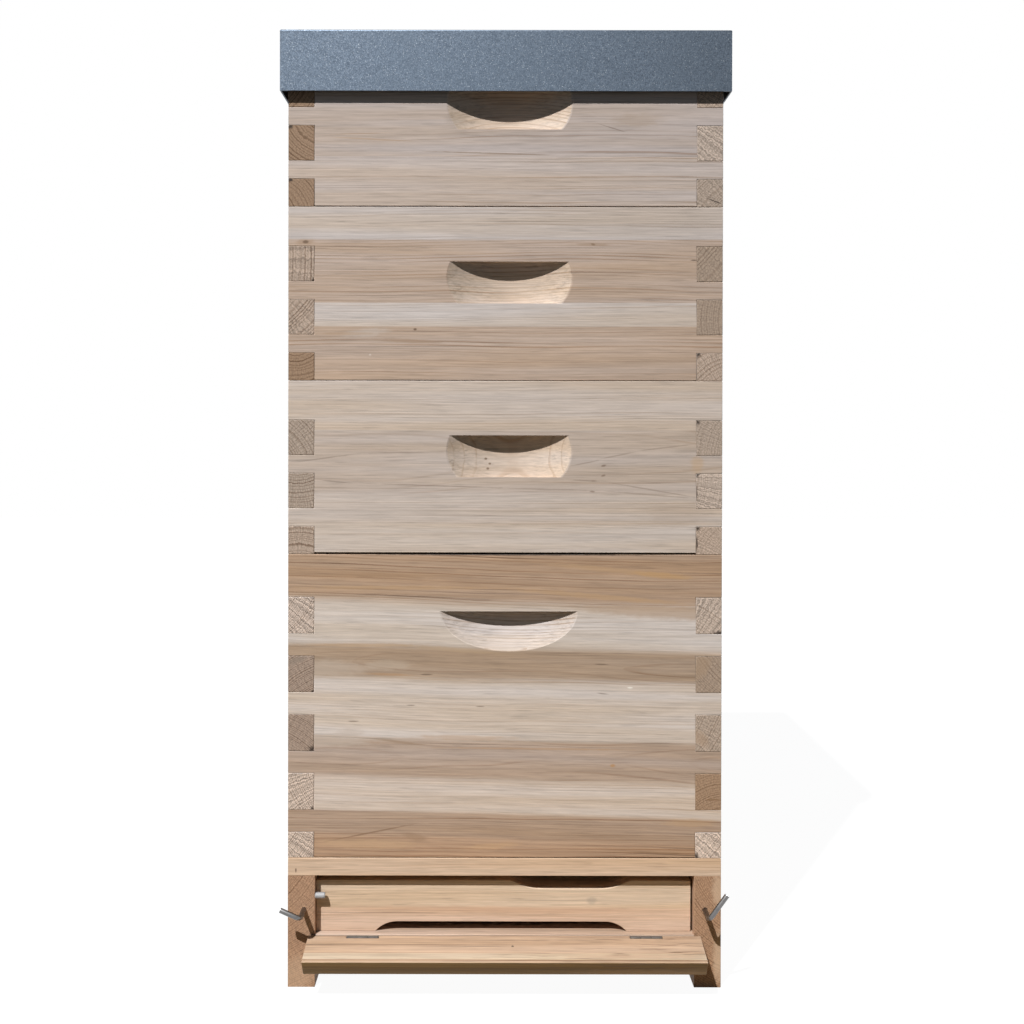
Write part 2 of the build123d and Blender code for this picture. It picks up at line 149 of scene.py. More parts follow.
def sawn_timber_group():
    """Softwood cut from a log: thin dark growth lines about the pith, fibres and streaks along the grain."""
    late_shade = (0.66, 0.56, 0.47, 1.0)
    cool_hue = (0.97, 1.0, 1.05, 1.0)
    warm_hue = (1.03, 0.99, 0.93, 1.0)
    end_shade = (0.86, 0.80, 0.75, 1.0)
    end_late_shade = (0.42, 0.35, 0.29, 1.0)
    wander_depth = 16 * mm
    wander_height = 12 * mm
    tree = bpy.data.node_groups.new("sawn_timber", "ShaderNodeTree")
    sockets = tree.interface
    sockets.new_socket("Place", in_out="INPUT", socket_type="NodeSocketVector")
    sockets.new_socket("Tone", in_out="INPUT", socket_type="NodeSocketColor")
    for name in ("End Grain", "Pith Depth", "Pith Height", "Seed", "Ring Width", "Ring Strength", "Streaks"):
        sockets.new_socket(name, in_out="INPUT", socket_type="NodeSocketFloat")
    sockets.new_socket("Color", in_out="OUTPUT", socket_type="NodeSocketColor")
    sockets.new_socket("Roughness", in_out="OUTPUT", socket_type="NodeSocketFloat")
    sockets.new_socket("Height", in_out="OUTPUT", socket_type="NodeSocketFloat")
    given = tree.nodes.new("NodeGroupInput").outputs
    result = tree.nodes.new("NodeGroupOutput").inputs

    raw = axes_of(tree, given["Place"])
    along = calc(tree, "MULTIPLY_ADD", given["Seed"], 2.37, raw[0])
    place = vector_of(tree, along, raw[1], raw[2])

    # The pith wanders a little along the log, which opens the rings into long arches
    drift = tree.nodes.new("ShaderNodeSeparateColor")
    tree.links.new(line_noise(tree, along, 2.4)["Color"], drift.inputs[0])
    drift_depth = calc(tree, "MULTIPLY_ADD", drift.outputs[0], wander_depth, -wander_depth / 2)
    drift_height = calc(tree, "MULTIPLY_ADD", drift.outputs[1], wander_height, -wander_height / 2)
    from_pith_depth = calc(tree, "ADD", calc(tree, "SUBTRACT", raw[1], given["Pith Depth"]), drift_depth)
    from_pith_height = calc(tree, "ADD", calc(tree, "SUBTRACT", raw[2], given["Pith Height"]), drift_height)
    squares = calc(tree, "MULTIPLY_ADD", from_pith_depth, from_pith_depth,
                   calc(tree, "MULTIPLY", from_pith_height, from_pith_height))
    radius = calc(tree, "SQRT", squares)

    # Rings of uneven width, each ending in a thin dark line that stays thin where the cut is slanting
    uneven = cloud(tree, place, (7.0, 42.0, 42.0))
    years = line_noise(tree, calc(tree, "MULTIPLY_ADD", given["Seed"], 0.117, radius), 60.0)
    rings = calc(tree, "DIVIDE", radius, given["Ring Width"])
    rings = calc(tree, "MULTIPLY_ADD", uneven, 0.6, rings)
    rings = calc(tree, "MULTIPLY_ADD", years["Fac"], 3.0, rings)
    waver = calc(tree, "SUBTRACT", cloud(tree, given["Place"], (240.0, 240.0, 240.0)), 0.5)
    rings = calc(tree, "MULTIPLY_ADD", calc(tree, "MULTIPLY", waver, given["End Grain"]), 0.55, rings)
    lean = calc(tree, "DIVIDE", calc(tree, "ABSOLUTE", from_pith_height), radius)
    grazed = calc(tree, "MAXIMUM", spread(tree, lean, 0.04, 0.2, 0.3, 1.0),
                  calc(tree, "SUBTRACT", given["Ring Strength"], 1.1))
    lean = calc(tree, "MAXIMUM", lean, given["End Grain"])
    line_share = calc(tree, "MULTIPLY_ADD", lean, 0.17, 0.08)
    before_line = calc(tree, "DIVIDE", calc(tree, "SUBTRACT", 1.0, calc(tree, "FRACT", rings)), line_share)
    late = calc(tree, "MULTIPLY", spread(tree, before_line, 0.0, 0.3),
                spread(tree, before_line, 0.6, 2.0, 1.0, 0.0))
    year = tree.nodes.new("ShaderNodeTexWhiteNoise")
    year.noise_dimensions = "1D"
    year_number = calc(tree, "FLOOR", rings)
    tree.links.new(calc(tree, "MULTIPLY_ADD", given["Seed"], 31.7, year_number), year.inputs["W"])
    year_power = calc(tree, "MULTIPLY_ADD", calc(tree, "POWER", year.outputs["Value"], 2.0), 0.8, 0.2)
    fresh_power = calc(tree, "MINIMUM", calc(tree, "SUBTRACT", given["Ring Strength"], 1.4), 0.6)
    late = calc(tree, "MULTIPLY", late, calc(tree, "MAXIMUM", year_power, fresh_power))

    # Planed sides: fibres, short dashes and long streaks, quieter in pale wood
    fibre = cloud(tree, place, (20.0, 560.0, 560.0), 3.0, 0.65)
    streak = cloud(tree, place, (3.2, 240.0, 240.0))
    dash = cloud(tree, place, (26.0, 640.0, 640.0), 1.0)
    dashes = calc(tree, "SUBTRACT", spread(tree, dash, 0.42, 0.32, 0.0, 0.07),
                  spread(tree, dash, 0.58, 0.68, 0.0, 0.13))
    band = cloud(tree, place, (1.5, 26.0, 26.0), 1.0)
    warmth = cloud(tree, place, (2.2, 60.0, 60.0), 1.0)
    line = spread(tree, cloud(tree, place, (2.0, 430.0, 430.0)), 0.60, 0.69)
    lightness = tree.nodes.new("ShaderNodeRGBToBW")
    tree.links.new(given["Tone"], lightness.inputs[0])
    quiet = spread(tree, lightness.outputs[0], 0.33, 0.50, 1.0, 0.45)
    comes_and_goes = spread(tree, cloud(tree, place, (6.0, 75.0, 75.0), 1.0), 0.36, 0.62, 0.3, 1.0)
    comes_and_goes = calc(tree, "MULTIPLY", calc(tree, "MAXIMUM", comes_and_goes, fresh_power), quiet)
    line = calc(tree, "MULTIPLY", calc(tree, "MULTIPLY", line, given["Streaks"]), comes_and_goes)
    side_late = calc(tree, "MULTIPLY", calc(tree, "MULTIPLY", late, given["Ring Strength"]), comes_and_goes)
    side_late = calc(tree, "MULTIPLY", side_late, calc(tree, "MINIMUM", grazed, 1.0))

    late_tint = blend_colours(tree, 1.0, given["Tone"], late_shade, "MULTIPLY")
    colour = blend_colours(tree, side_late, given["Tone"], late_tint)
    hue = blend_colours(tree, spread(tree, warmth, 0.3, 0.7), cool_hue, warm_hue)
    colour = blend_colours(tree, 1.0, colour, hue, "MULTIPLY")
    level = calc(tree, "ADD", calc(tree, "MULTIPLY_ADD", fibre, 0.68, 0.69), dashes)
    streak_power = calc(tree, "MULTIPLY", calc(tree, "MULTIPLY", given["Streaks"], 0.40), quiet)
    level = calc(tree, "MULTIPLY_ADD", calc(tree, "SUBTRACT", streak, 0.5), streak_power, level)
    level = calc(tree, "MULTIPLY_ADD", calc(tree, "SUBTRACT", band, 0.5), 0.12, level)
    warm_power = calc(tree, "MULTIPLY", calc(tree, "POWER", given["Streaks"], 2.0), 0.02)
    level = calc(tree, "MULTIPLY_ADD", spread(tree, warmth, 0.35, 0.65, 1.0, -1.0), warm_power, level)
    level = calc(tree, "MULTIPLY", level, calc(tree, "MULTIPLY_ADD", line, -0.24, 1.0))
    side_colour = dimmed(tree, colour, level)

    # Cut ends drink up dirt and light: browner, with rings and rays standing out and open pores
    speckle = cloud(tree, given["Place"], (560.0, 560.0, 560.0), 3.0, 0.75)
    angle = calc(tree, "ARCTAN2", from_pith_height, from_pith_depth)
    rays = line_noise(tree, calc(tree, "MULTIPLY_ADD", waver, 0.055, angle), 64.0)
    end_tone = blend_colours(tree, 1.0, given["Tone"], end_shade, "MULTIPLY")
    end_late = blend_colours(tree, 1.0, end_tone, end_late_shade, "MULTIPLY")
    end_share = calc(tree, "MULTIPLY", calc(tree, "POWER", late, 0.7),
                     calc(tree, "MINIMUM", given["Ring Strength"], 1.0))
    end_colour = blend_colours(tree, end_share, end_tone, end_late)
    hatch = calc(tree, "MULTIPLY", spread(tree, rays["Fac"], 0.38, 0.62, -1.0, 1.0),
                 spread(tree, lightness.outputs[0], 0.30, 0.55, 0.10, 0.38))
    end_level = calc(tree, "ADD", calc(tree, "MULTIPLY_ADD", speckle, 1.5, 0.27), hatch)
    end_colour = dimmed(tree, end_colour, end_level)
    tree.links.new(blend_colours(tree, given["End Grain"], side_colour, end_colour), result["Color"])

    gloss = calc(tree, "MULTIPLY_ADD", fibre, 0.24, 0.5)
    gloss = calc(tree, "MULTIPLY_ADD", given["End Grain"], 0.14, gloss)
    tree.links.new(gloss, result["Roughness"])
    height = calc(tree, "MULTIPLY_ADD", late, 0.4, calc(tree, "MULTIPLY", fibre, 0.6))
    height = calc(tree, "MULTIPLY_ADD", line, -0.5, height)
    height = calc(tree, "MULTIPLY_ADD", calc(tree, "MULTIPLY", speckle, given["End Grain"]), 0.9, height)
    tree.links.new(height, result["Height"])
    return tree


sawn_timber = sawn_timber_group()


def strip_ramp(tree, share, stops, kind):
    """Colours that change from strip to strip, from the foot of a board to its head."""
    node = tree.nodes.new("ShaderNodeValToRGB")
    node.color_ramp.interpolation = kind
    elements = node.color_ramp.elements
    elements.remove(elements[1])
    elements[0].position = stops[0][0]
    elements[0].color = (*stops[0][1], 1.0)
    for place, colour in stops[1:]:
        element = elements.new(place)
        element.color = (*colour, 1.0)
    join(tree, share, node.inputs[0])
    return node.outputs["Color"]


def timber_finish(name, node, axes, strips, ring_width=3.0, ring_strength=0.8, streaks=1.0, sway=0.0,
                  tilt=0.0, marks=(), end_marks=(), fresh=None, painted_light_fade=None, cracks=None, painted_edge_shade=None):
    """Bare wood for one piece: strips glued side by side, each cut from its own place in a log.

    Lengths are in millimetres. Axes give the grain, the depth and the way across. A strip is its start
    across the piece, tone, pith depth and pith height from the piece's lowest corner, seed, and how
    soft its start is. Ring strength and streaks are how clearly growth lines and streaks show, and
    sway is how far the strips' edges wander.
    Fresh is the depth of the outer face, the way in, and the tone of wood in the handhold, which was
    cut later than the rest, with how light it is painted at its left and right ends: painted shade and light.
    A mark is a knot, stain or crack: its place along and across, half length, half height, rise along
    its length, colour and strength. An end mark's place is its depth and its place across, on a cut end.
    Tilt is the slope of the grain. The painted light fade is how light the wood is painted at its start and
    at its end, for the light falling off along the piece.
    A painted edge shade is given to the long edges that face across the piece, standing in for the shade on
    them.
    Cracks give where short cracks begin along the piece, and where they are thickest."""
    handhold_half = 80 * mm
    handhold_lit_half = 70 * mm
    handhold_begins = 0.2 * mm
    handhold_full = 0.7 * mm
    crack_tone = (0.13, 0.075, 0.045, 1.0)
    ragged_edge = 0.9
    mark_core = 0.85
    mark_rim = 1.6
    low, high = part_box(node)
    material, tree, shader = new_finish(name)
    shader.inputs["Specular IOR Level"].default_value = 0.3
    where = tree.nodes.new("ShaderNodeTexCoord")
    from_corner = tree.nodes.new("ShaderNodeVectorMath")
    from_corner.operation = "SUBTRACT"
    tree.links.new(where.outputs["Object"], from_corner.inputs[0])
    from_corner.inputs[1].default_value = low
    parts = axes_of(tree, from_corner.outputs[0])
    along, into, across = (parts[axis_number[axis]] for axis in axes)
    breadth = high[axis_number[axes[2]]] - low[axis_number[axes[2]]]
    leaned = calc(tree, "MULTIPLY_ADD", along, tilt, across)
    if sway:
        wave = cloud(tree, vector_of(tree, along, into, across), (3.5, 10.0, 10.0), 2.0)
        leaned = calc(tree, "MULTIPLY_ADD", calc(tree, "SUBTRACT", wave, 0.5), sway * mm * 4, leaned)
    place = vector_of(tree, along, into, leaned)
    share = calc(tree, "DIVIDE", leaned, breadth)

    # A strip's pith and seed are carried by a ramp's colour, so each is put between 0 and 1
    tone_stops = []
    cut_stops = []
    for number, (start, tone, pith_depth, pith_height, seed, soft) in enumerate(strips):
        begins = max(0.0, start * mm / breadth)
        blur = soft * mm / breadth / 2
        if number > 0:
            tone_stops.append((begins - blur, strips[number - 1][1]))
        tone_stops.append((begins + blur if number > 0 else 0.0, tone))
        cut_stops.append((begins, (0.5 + pith_depth * mm, 0.5 + pith_height * mm / 2, seed / 100)))
    tone = strip_ramp(tree, share, tone_stops, "LINEAR")
    cut = tree.nodes.new("ShaderNodeSeparateColor")
    tree.links.new(strip_ramp(tree, share, cut_stops, "CONSTANT"), cut.inputs[0])

    length = high[axis_number[axes[0]]] - low[axis_number[axes[0]]]
    # Painted light: the wood is painted lighter at its start and darker at its end, for the light falling off
    # along the piece.
    if painted_light_fade:
        light = calc(tree, "MULTIPLY_ADD", along, (painted_light_fade[1] - painted_light_fade[0]) / length, painted_light_fade[0])
        tone = dimmed(tree, tone, light)
    ring_power = ring_strength
    if fresh:
        outer, inward, fresh_tone, left_painted_light, right_painted_light = fresh
        depth = calc(tree, "MULTIPLY", calc(tree, "SUBTRACT", into, outer * mm), inward)
        beside = calc(tree, "ABSOLUTE", calc(tree, "SUBTRACT", along, length / 2))
        cut_in = calc(tree, "MULTIPLY", spread(tree, depth, handhold_begins, handhold_full),
                      calc(tree, "LESS_THAN", beside, handhold_half))
        # Painted shade and light: the handhold's wood is painted darker at its left end and lighter at its
        # right, for the sun from the left.
        rightwards = spread(tree, along, length / 2 - handhold_lit_half, length / 2 + handhold_lit_half)
        light = calc(tree, "MULTIPLY_ADD", rightwards, right_painted_light - left_painted_light, left_painted_light)
        tone = blend_colours(tree, cut_in, tone, dimmed(tree, (*fresh_tone, 1.0), light))
        ring_power = calc(tree, "MULTIPLY", cut_in, calc(tree, "MULTIPLY_ADD", rightwards, 1.0, 0.5))
        ring_power = calc(tree, "ADD", ring_power, ring_strength)

    facing = axes_of(tree, where.outputs["Normal"])
    end_grain = spread(tree, calc(tree, "ABSOLUTE", facing[axis_number[axes[0]]]), 0.55, 0.9)
    # Painted shade on the long edges that face across the piece.
    if painted_edge_shade:
        edge = spread(tree, calc(tree, "ABSOLUTE", facing[axis_number[axes[2]]]), 0.55, 0.9)
        tone = blend_colours(tree, edge, tone, (*painted_edge_shade, 1.0))
    timber = tree.nodes.new("ShaderNodeGroup")
    timber.node_tree = sawn_timber
    for socket, value in (
        ("Place", place),
        ("Tone", tone),
        ("End Grain", end_grain),
        ("Pith Depth", calc(tree, "SUBTRACT", cut.outputs[0], 0.5)),
        ("Pith Height", calc(tree, "MULTIPLY_ADD", cut.outputs[1], 2.0, -1.0)),
        ("Seed", calc(tree, "MULTIPLY", cut.outputs[2], 100.0)),
        ("Ring Width", ring_width * mm),
        ("Ring Strength", ring_power),
        ("Streaks", streaks),
    ):
        join(tree, value, timber.inputs[socket])
    colour = timber.outputs["Color"]
    if cracks:
        first_crack, most_cracks = cracks
        split = spread(tree, cloud(tree, place, (20.0, 620.0, 620.0), 2.0), 0.58, 0.66)
        split = calc(tree, "MULTIPLY", split,
                     spread(tree, along, first_crack * mm, most_cracks * mm, 0.0, 0.75))
        colour = blend_colours(tree, split, colour, crack_tone)
    ragged = cloud(tree, place, (90.0, 260.0, 260.0), 2.0) if marks or end_marks else 0.5
    for first, kind, share_of in ((along, marks, 1.0), (into, end_marks, end_grain)):
        for beside, above, half_length, half_height, rise, mark_colour, strength in kind:
            beyond = calc(tree, "SUBTRACT", first, beside * mm)
            over = calc(tree, "SUBTRACT", across, above * mm)
            over = calc(tree, "DIVIDE", calc(tree, "MULTIPLY_ADD", beyond, -rise, over), half_height * mm)
            beyond = calc(tree, "DIVIDE", beyond, half_length * mm)
            squares = calc(tree, "MULTIPLY_ADD", beyond, beyond, calc(tree, "MULTIPLY", over, over))
            away = calc(tree, "MULTIPLY_ADD", ragged, ragged_edge, calc(tree, "SQRT", squares))
            mask = calc(tree, "MULTIPLY", spread(tree, away, mark_core, mark_rim, strength, 0.0), share_of)
            colour = blend_colours(tree, mask, colour, (*mark_colour, 1.0))
    tree.links.new(colour, shader.inputs["Base Color"])
    tree.links.new(timber.outputs["Roughness"], shader.inputs["Roughness"])
    relief = tree.nodes.new("ShaderNodeBump")
    relief.inputs["Strength"].default_value = 0.35
    relief.inputs["Distance"].default_value = 0.25 * mm
    tree.links.new(timber.outputs["Height"], relief.inputs["Height"])
    tree.links.new(relief.outputs["Normal"], shader.inputs["Normal"])
    return material


def worked_piece(node, finish, ease=0.4, suffix="planed", foot_gap=0.0):
    """A node's solid with its sharp edges eased and its curves smooth, shown in the node's place.

    A foot gap takes a little off the piece's foot, so that a thin dark seam shows under it."""
    merge_reach = 0.02 * mm
    foot_reach = 0.01 * mm
    square_on = 0.9999
    flat_angle = math.radians(0.6)
    edge_angle = math.radians(38)
    crease_angle = math.radians(50)
    shape = bmesh.new()
    shape.from_mesh(frame["nodes"][node].data)
    bmesh.ops.remove_doubles(shape, verts=shape.verts[:], dist=merge_reach)
    bmesh.ops.dissolve_limit(shape, angle_limit=flat_angle, verts=shape.verts[:], edges=shape.edges[:])
    foot = min(vert.co.z for vert in shape.verts)
    feet = [vert for vert in shape.verts if vert.co.z < foot + foot_reach]
    bmesh.ops.translate(shape, vec=(0, 0, foot_gap * mm), verts=feet)
    if ease:
        sharp = [edge for edge in shape.edges
                 if edge.is_manifold and edge.is_convex and edge.calc_face_angle() > edge_angle]
        bmesh.ops.bevel(shape, geom=sharp, offset=ease * mm, offset_type="OFFSET", segments=2,
                        profile=0.5, affect="EDGES", material=-1, clamp_overlap=True)
    mesh = bpy.data.meshes.new(f"{node}_{suffix}")
    shape.to_mesh(mesh)
    shape.free()
    mesh.set_sharp_from_angle(angle=crease_angle)
    for face in mesh.polygons:
        face.use_smooth = max(abs(number) for number in face.normal) < square_on
    mesh.materials.append(finish)
    piece = bpy.data.objects.new(mesh.name, mesh)
    bpy.context.scene.collection.objects.link(piece)
    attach(piece, body_of_node[node])
    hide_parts(node)
    return piece


rail_tone = (0.44, 0.285, 0.19)
rail_sapwood = (0.56, 0.40, 0.275)
rail_dark_tone = (0.405, 0.258, 0.165)
rail_cuts = {
    "left": (rail_tone, -60, 160, 12, [(9, 12, 21, 24, 0.3, rail_sapwood, 0.35)]),
    "right": (rail_dark_tone, 90, 150, 17,
              [(24, 98, 7, 20, 0, rail_sapwood, 0.6), (25, 30, 7, 30, 0, rail_sapwood, 0.6)]),
}
for side, (tone, pith_depth, pith_height, seed, sap_marks) in rail_cuts.items():
    rail_wood = timber_finish(
        f"{side}_rail_wood", f"{side}_rail", "YXZ", [(0, tone, pith_depth, pith_height, seed, 0)],
        ring_width=2.0, streaks=1.6, end_marks=sap_marks,
    )
    worked_piece(f"{side}_rail", rail_wood, ease=0.5)

# Front crossbar
# A planed batten lies across the rails' front ends and carries the brood box's front edge.
# It is nailed down into the rails, and one nail's dent shows near its left end.
crossbar_tone = (0.582, 0.414, 0.288)
nail_dent = (0.16, 0.10, 0.07)
# The crossbar's wood is painted lighter at its left end and darker at its right: painted light.
crossbar_wood = timber_finish(
    "crossbar_wood", "front_crossbar", "XYZ", [(0, crossbar_tone, -10, 140, 3, 0)],
    ring_strength=0.7, painted_light_fade=(1.04, 0.93), marks=[(8.0, 5.4, 1.0, 2.7, 0, nail_dent, 0.9)],
)
worked_piece("front_crossbar", crossbar_wood, ease=0.6)

# Rear board
# A planed board joins the rails at the back, above the slot where the tray slides in.
# Its grain runs across the hive, and it is screwed to the rails' back ends.
rear_tone = (0.55, 0.40, 0.285)
rear_wood = timber_finish("rear_board_wood", "rear_board", "XYZ", [(0, rear_tone, 60, -30, 5, 0)])
worked_piece("rear_board", rear_wood, ease=0.5)

# Front sill
# A thick board between the rails, which the entrance block stands on and the hinges are screwed to.
# Its grain runs across the hive, and it is painted near black under the block, as painted shade in the slot
# where bees walk in.
sill_tone = (0.41, 0.295, 0.22)
# Painted shade: the sill's top under the block is painted near black, for the shade inside the slot.
sill_painted_shade = (0.03, 0.022, 0.017)
block_front = (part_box("entrance_block")[0].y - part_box("front_sill")[0].y) / mm
sill_wood = timber_finish(
    "sill_wood", "front_sill", "XZY", [(0, sill_tone, -50, -90, 7, 0)],
    streaks=2.4, marks=[(190, block_front + 26, 190, 15, 0, sill_painted_shade, 0.95)],
)
worked_piece("front_sill", sill_wood, ease=0.5)

# Mesh battens and tray runners
# Square softwood strips screwed to the inside of the rails.
# The upper ones hold the floor mesh by its edges, and the lower two carry the tray.
batten_tone = (0.56, 0.42, 0.30)
batten_wood = timber_finish("batten_wood", "mesh_battens", "YXZ", [(0, batten_tone, -40, 60, 9, 0)])
runner_wood = timber_finish("runner_wood", "tray_runners", "YXZ", [(0, batten_tone, -30, 50, 13, 0)])
worked_piece("mesh_battens", batten_wood, ease=0.4)
worked_piece("tray_runners", runner_wood, ease=0.4)


# Floor mesh
# A sheet of galvanised wire cloth, woven square and tacked along the battens' tops.
# It lets air in and lets debris fall through to the tray, but no bee.
def zinc_finish(name, colour, roughness, spangle):
    """Zinc on steel: grey metal in crystals of slightly different brightness, a little cloudy."""
    material, tree, shader = new_finish(name)
    shader.inputs["Metallic"].default_value = 1.0
    where = tree.nodes.new("ShaderNodeTexCoord").outputs["Object"]
    crystals = tree.nodes.new("ShaderNodeTexVoronoi")
    crystals.inputs["Scale"].default_value = spangle
    tree.links.new(where, crystals.inputs["Vector"])
    shade = tree.nodes.new("ShaderNodeSeparateColor")
    tree.links.new(crystals.outputs["Color"], shade.inputs[0])
    haze = cloud(tree, where, (90.0, 90.0, 90.0), 3.0)
    level = calc(tree, "MULTIPLY_ADD", shade.outputs[0], 0.16, 0.80)
    level = calc(tree, "MULTIPLY_ADD", haze, 0.2, level)
    tree.links.new(dimmed(tree, (*colour, 1.0), level), shader.inputs["Base Color"])
    rough = calc(tree, "MULTIPLY_ADD", haze, 0.3, roughness - 0.15)
    tree.links.new(rough, shader.inputs["Roughness"])
    return material


wire_radius = 0.25 * mm
wire_pitch = 3.2 * mm
wire_layer = 0.7 * wire_radius
wire_zinc = zinc_finish("wire_zinc", (0.60, 0.61, 0.62), 0.4, 900.0)
mesh_low, mesh_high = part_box("mesh_screen")
mesh_height = (mesh_low.z + mesh_high.z) / 2
wire_cloth = bmesh.new()
for run, cross, lift in ((0, 1, wire_layer), (1, 0, -wire_layer)):
    span = mesh_high[cross] - mesh_low[cross]
    wires = int(span / wire_pitch)
    length = mesh_high[run] - mesh_low[run]
    for number in range(wires):
        wire = bmesh.ops.create_cube(wire_cloth, size=1.0)["verts"]
        size = Vector((2 * wire_radius, 2 * wire_radius, 2 * wire_radius))
        size[run] = length
        centre = (mesh_low + mesh_high) / 2
        centre[cross] = mesh_low[cross] + span * (number + 0.5) / wires
        centre.z = mesh_height + lift
        bmesh.ops.scale(wire_cloth, vec=size, verts=wire)
        bmesh.ops.translate(wire_cloth, vec=centre, verts=wire)
wire_mesh = bpy.data.meshes.new("floor_wire_cloth")
wire_cloth.to_mesh(wire_mesh)
wire_cloth.free()
wire_mesh.materials.append(wire_zinc)
wire_piece = bpy.data.objects.new("floor_wire_cloth", wire_mesh)
bpy.context.scene.collection.objects.link(wire_piece)
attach(wire_piece, "floor")
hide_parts("mesh_screen")

# Tray
# A sheet of galvanised steel lies on the runners, with rims on three sides and a pull at the back.
# It is drawn out backwards to look at what fell through the mesh.
tray_zinc = zinc_finish("tray_zinc", (0.58, 0.60, 0.62), 0.42, 70.0)
for node in ("tray", "tray_rims", "tray_pull"):
    worked_piece(node, tray_zinc, ease=0.15, suffix="folded")

# Entrance block
# A loose wooden block closes the front above the sill, with a long low slot cut out of its foot.
# A short notch is cut out of its top edge, for when the block is turned over in winter.
block_low_tone = (0.565, 0.395, 0.280)
block_high_tone = (0.565, 0.420, 0.292)
block_smudge = (0.30, 0.25, 0.20)
block_streak = (0.56, 0.36, 0.24)
block_wood = timber_finish(
    "block_wood", "entrance_block", "XYZ",
    [(0, block_low_tone, -20, -90, 17, 0), (24, block_high_tone, -20, -90, 18, 3)],
    ring_width=2.6, ring_strength=0.7, streaks=1.9, sway=1.0,
    marks=[(279, 31, 6, 5, 0, block_smudge, 0.4), (200, 22, 190, 4, -0.01, block_streak, 0.4)],
)
worked_piece("entrance_block", block_wood, ease=0.5)

# Stop peg
# A short pale metal peg is driven into the left rail, in front of the entrance block.
# It keeps the block's left end from coming out.
peg_zinc = zinc_finish("peg_zinc", (0.38, 0.375, 0.375), 0.75, 400.0)
worked_piece("stop_peg", peg_zinc, ease=0.3, suffix="driven")

# Landing board
# A sloping board on two hinges, where the bees alight; it folds up to shut the entrance for travel.
# It is cut from one plank, and its top was left rough, with the grain running across the hive.
landing_tan = (0.395, 0.268, 0.176)
landing_line = (0.25, 0.15, 0.085)
landing_pale = (0.42, 0.315, 0.215)
# The front edge's dark olive-brown is painted shade, for the shade and warm bounce light on the undercut
# front face.
landing_front_painted_shade = (0.193, 0.116, 0.044)
landing_hole = (0.08, 0.05, 0.035)
landing_streak = (0.40, 0.27, 0.18)
landing_wood = timber_finish(
    "landing_wood", "landing_board", "XZY",
    [(0, landing_tan, 10, -120, 21, 0), (3.0, landing_line, 10, -120, 21, 0.6),
     (4.6, landing_pale, 10, -120, 22, 0.6), (13.5, landing_tan, 10, -120, 23, 1)],
    ring_width=2.2, streaks=1.9, cracks=(100, 330), sway=0.5, painted_edge_shade=landing_front_painted_shade,
    marks=[(205, 24, 1.6, 1.6, 0, landing_hole, 0.9), (330, 9, 80, 3.5, 0, landing_streak, 0.7)],
)
worked_piece("landing_board", landing_wood, ease=0.5)

# Hinges
# Two small zinc-plated butt hinges, with their knuckles in the gap behind the landing board.
# One leaf of each is fixed to the sill and the other to the board, and a pin runs through both.
hinge_zinc = zinc_finish("hinge_zinc", (0.135, 0.118, 0.105), 0.75, 300.0)
for node in ("hinge_fixed_leaves", "hinge_moving_leaves", "hinge_pins"):
    worked_piece(node, hinge_zinc, ease=0.15, suffix="plated")

# Hooks
# Two bent rods of zinc-plated steel stand in the legs and turn by hand.
# Turned inwards they hold the folded landing board shut.
hook_zinc = zinc_finish("hook_zinc", (0.19, 0.185, 0.185), 0.30, 500.0)
for node in ("left_hook", "right_hook"):
    worked_piece(node, hook_zinc, ease=0.4, suffix="bent")

# Brood box
# Four boards, each glued up from strips, joined at the corners by fingers and glued and nailed.
# The front and back have scooped handholds, and a rest cut along the inside for the frames' lugs.
bright = (0.63, 0.54, 0.48)
pale = (0.53, 0.45, 0.39)
tan = (0.50, 0.405, 0.335)
grey = (0.455, 0.38, 0.32)
dusky = (0.415, 0.33, 0.275)
umber = (0.40, 0.32, 0.255)
brown = (0.375, 0.26, 0.175)
ochre = (0.46, 0.29, 0.16)
rust = (0.40, 0.24, 0.13)
knot = (0.14, 0.085, 0.05)
crack = (0.10, 0.065, 0.04)
# Near black painted shade, for the shade in chipped hollows and in the seams between boxes.
chip_and_seam_shade = (0.045, 0.03, 0.022)
# Painted light: the front and back boards are painted lighter towards one end and darker towards the other,
# for the light falling off across the hive.
brood_painted_light_fade = (1.00, 0.895)


def pin_strips(borders, cuts):
    """Strips of a side board, one for each pin.

    A cut is tone, pith depth and pith height from the strip's foot, and seed."""
    return [(border, tone, depth, border + height, seed, 1)
            for border, (tone, depth, height, seed) in zip(borders, cuts)]


board_thickness = 26
outer_faces = {"front": (0, 1), "back": (board_thickness, -1)}
brood_fresh = (0.517, 0.439, 0.388)
# Painted shade and light: the handhold's wood is painted darker at its left end and lighter at its right.
brood_fresh_painted_light = (0.97, 1.07)
brood_borders = (0, 38, 96, 154, 213, 272)
brood_strips = {
    "front": [
        (0, (0.41, 0.258, 0.162), 40, -60, 1, 0), (24, (0.395, 0.275, 0.195), 40, -60, 1, 8),
        (49, (0.591, 0.481, 0.398), -30, 190, 2, 3),
        (83, (0.428, 0.322, 0.255), 34, 103, 3, 8), (123, (0.595, 0.503, 0.435), 15, -20, 4, 5),
        (183, (0.39, 0.285, 0.207), 30, 199, 5, 7), (216, (0.60, 0.518, 0.458), -110, 60, 6, 8),
        (262, (0.418, 0.281, 0.188), -20, 420, 7, 12),
    ],
    "back": [
        (0, pale, 20, -90, 31, 0), (71, tan, -30, 250, 32, 3), (130, pale, 34, 160, 33, 4),
        (196, brown, 10, 20, 34, 4), (244, pale, -20, 420, 35, 4),
    ],
    "left": pin_strips(brood_borders, [
        (bright, -60, 60, 41), (bright, 90, 70, 42), (dusky, -50, -60, 43),
        (dusky, 70, -70, 44), (bright, -60, 90, 45), (tan, 60, 20, 46),
    ]),
    "right": pin_strips(brood_borders, [
        (bright, -80, 90, 51), (brown, 30, -20, 52), (grey, -70, 80, 53),
        (umber, 80, 90, 54), (pale, -40, -50, 55), (pale, -60, 20, 56),
    ]),
}
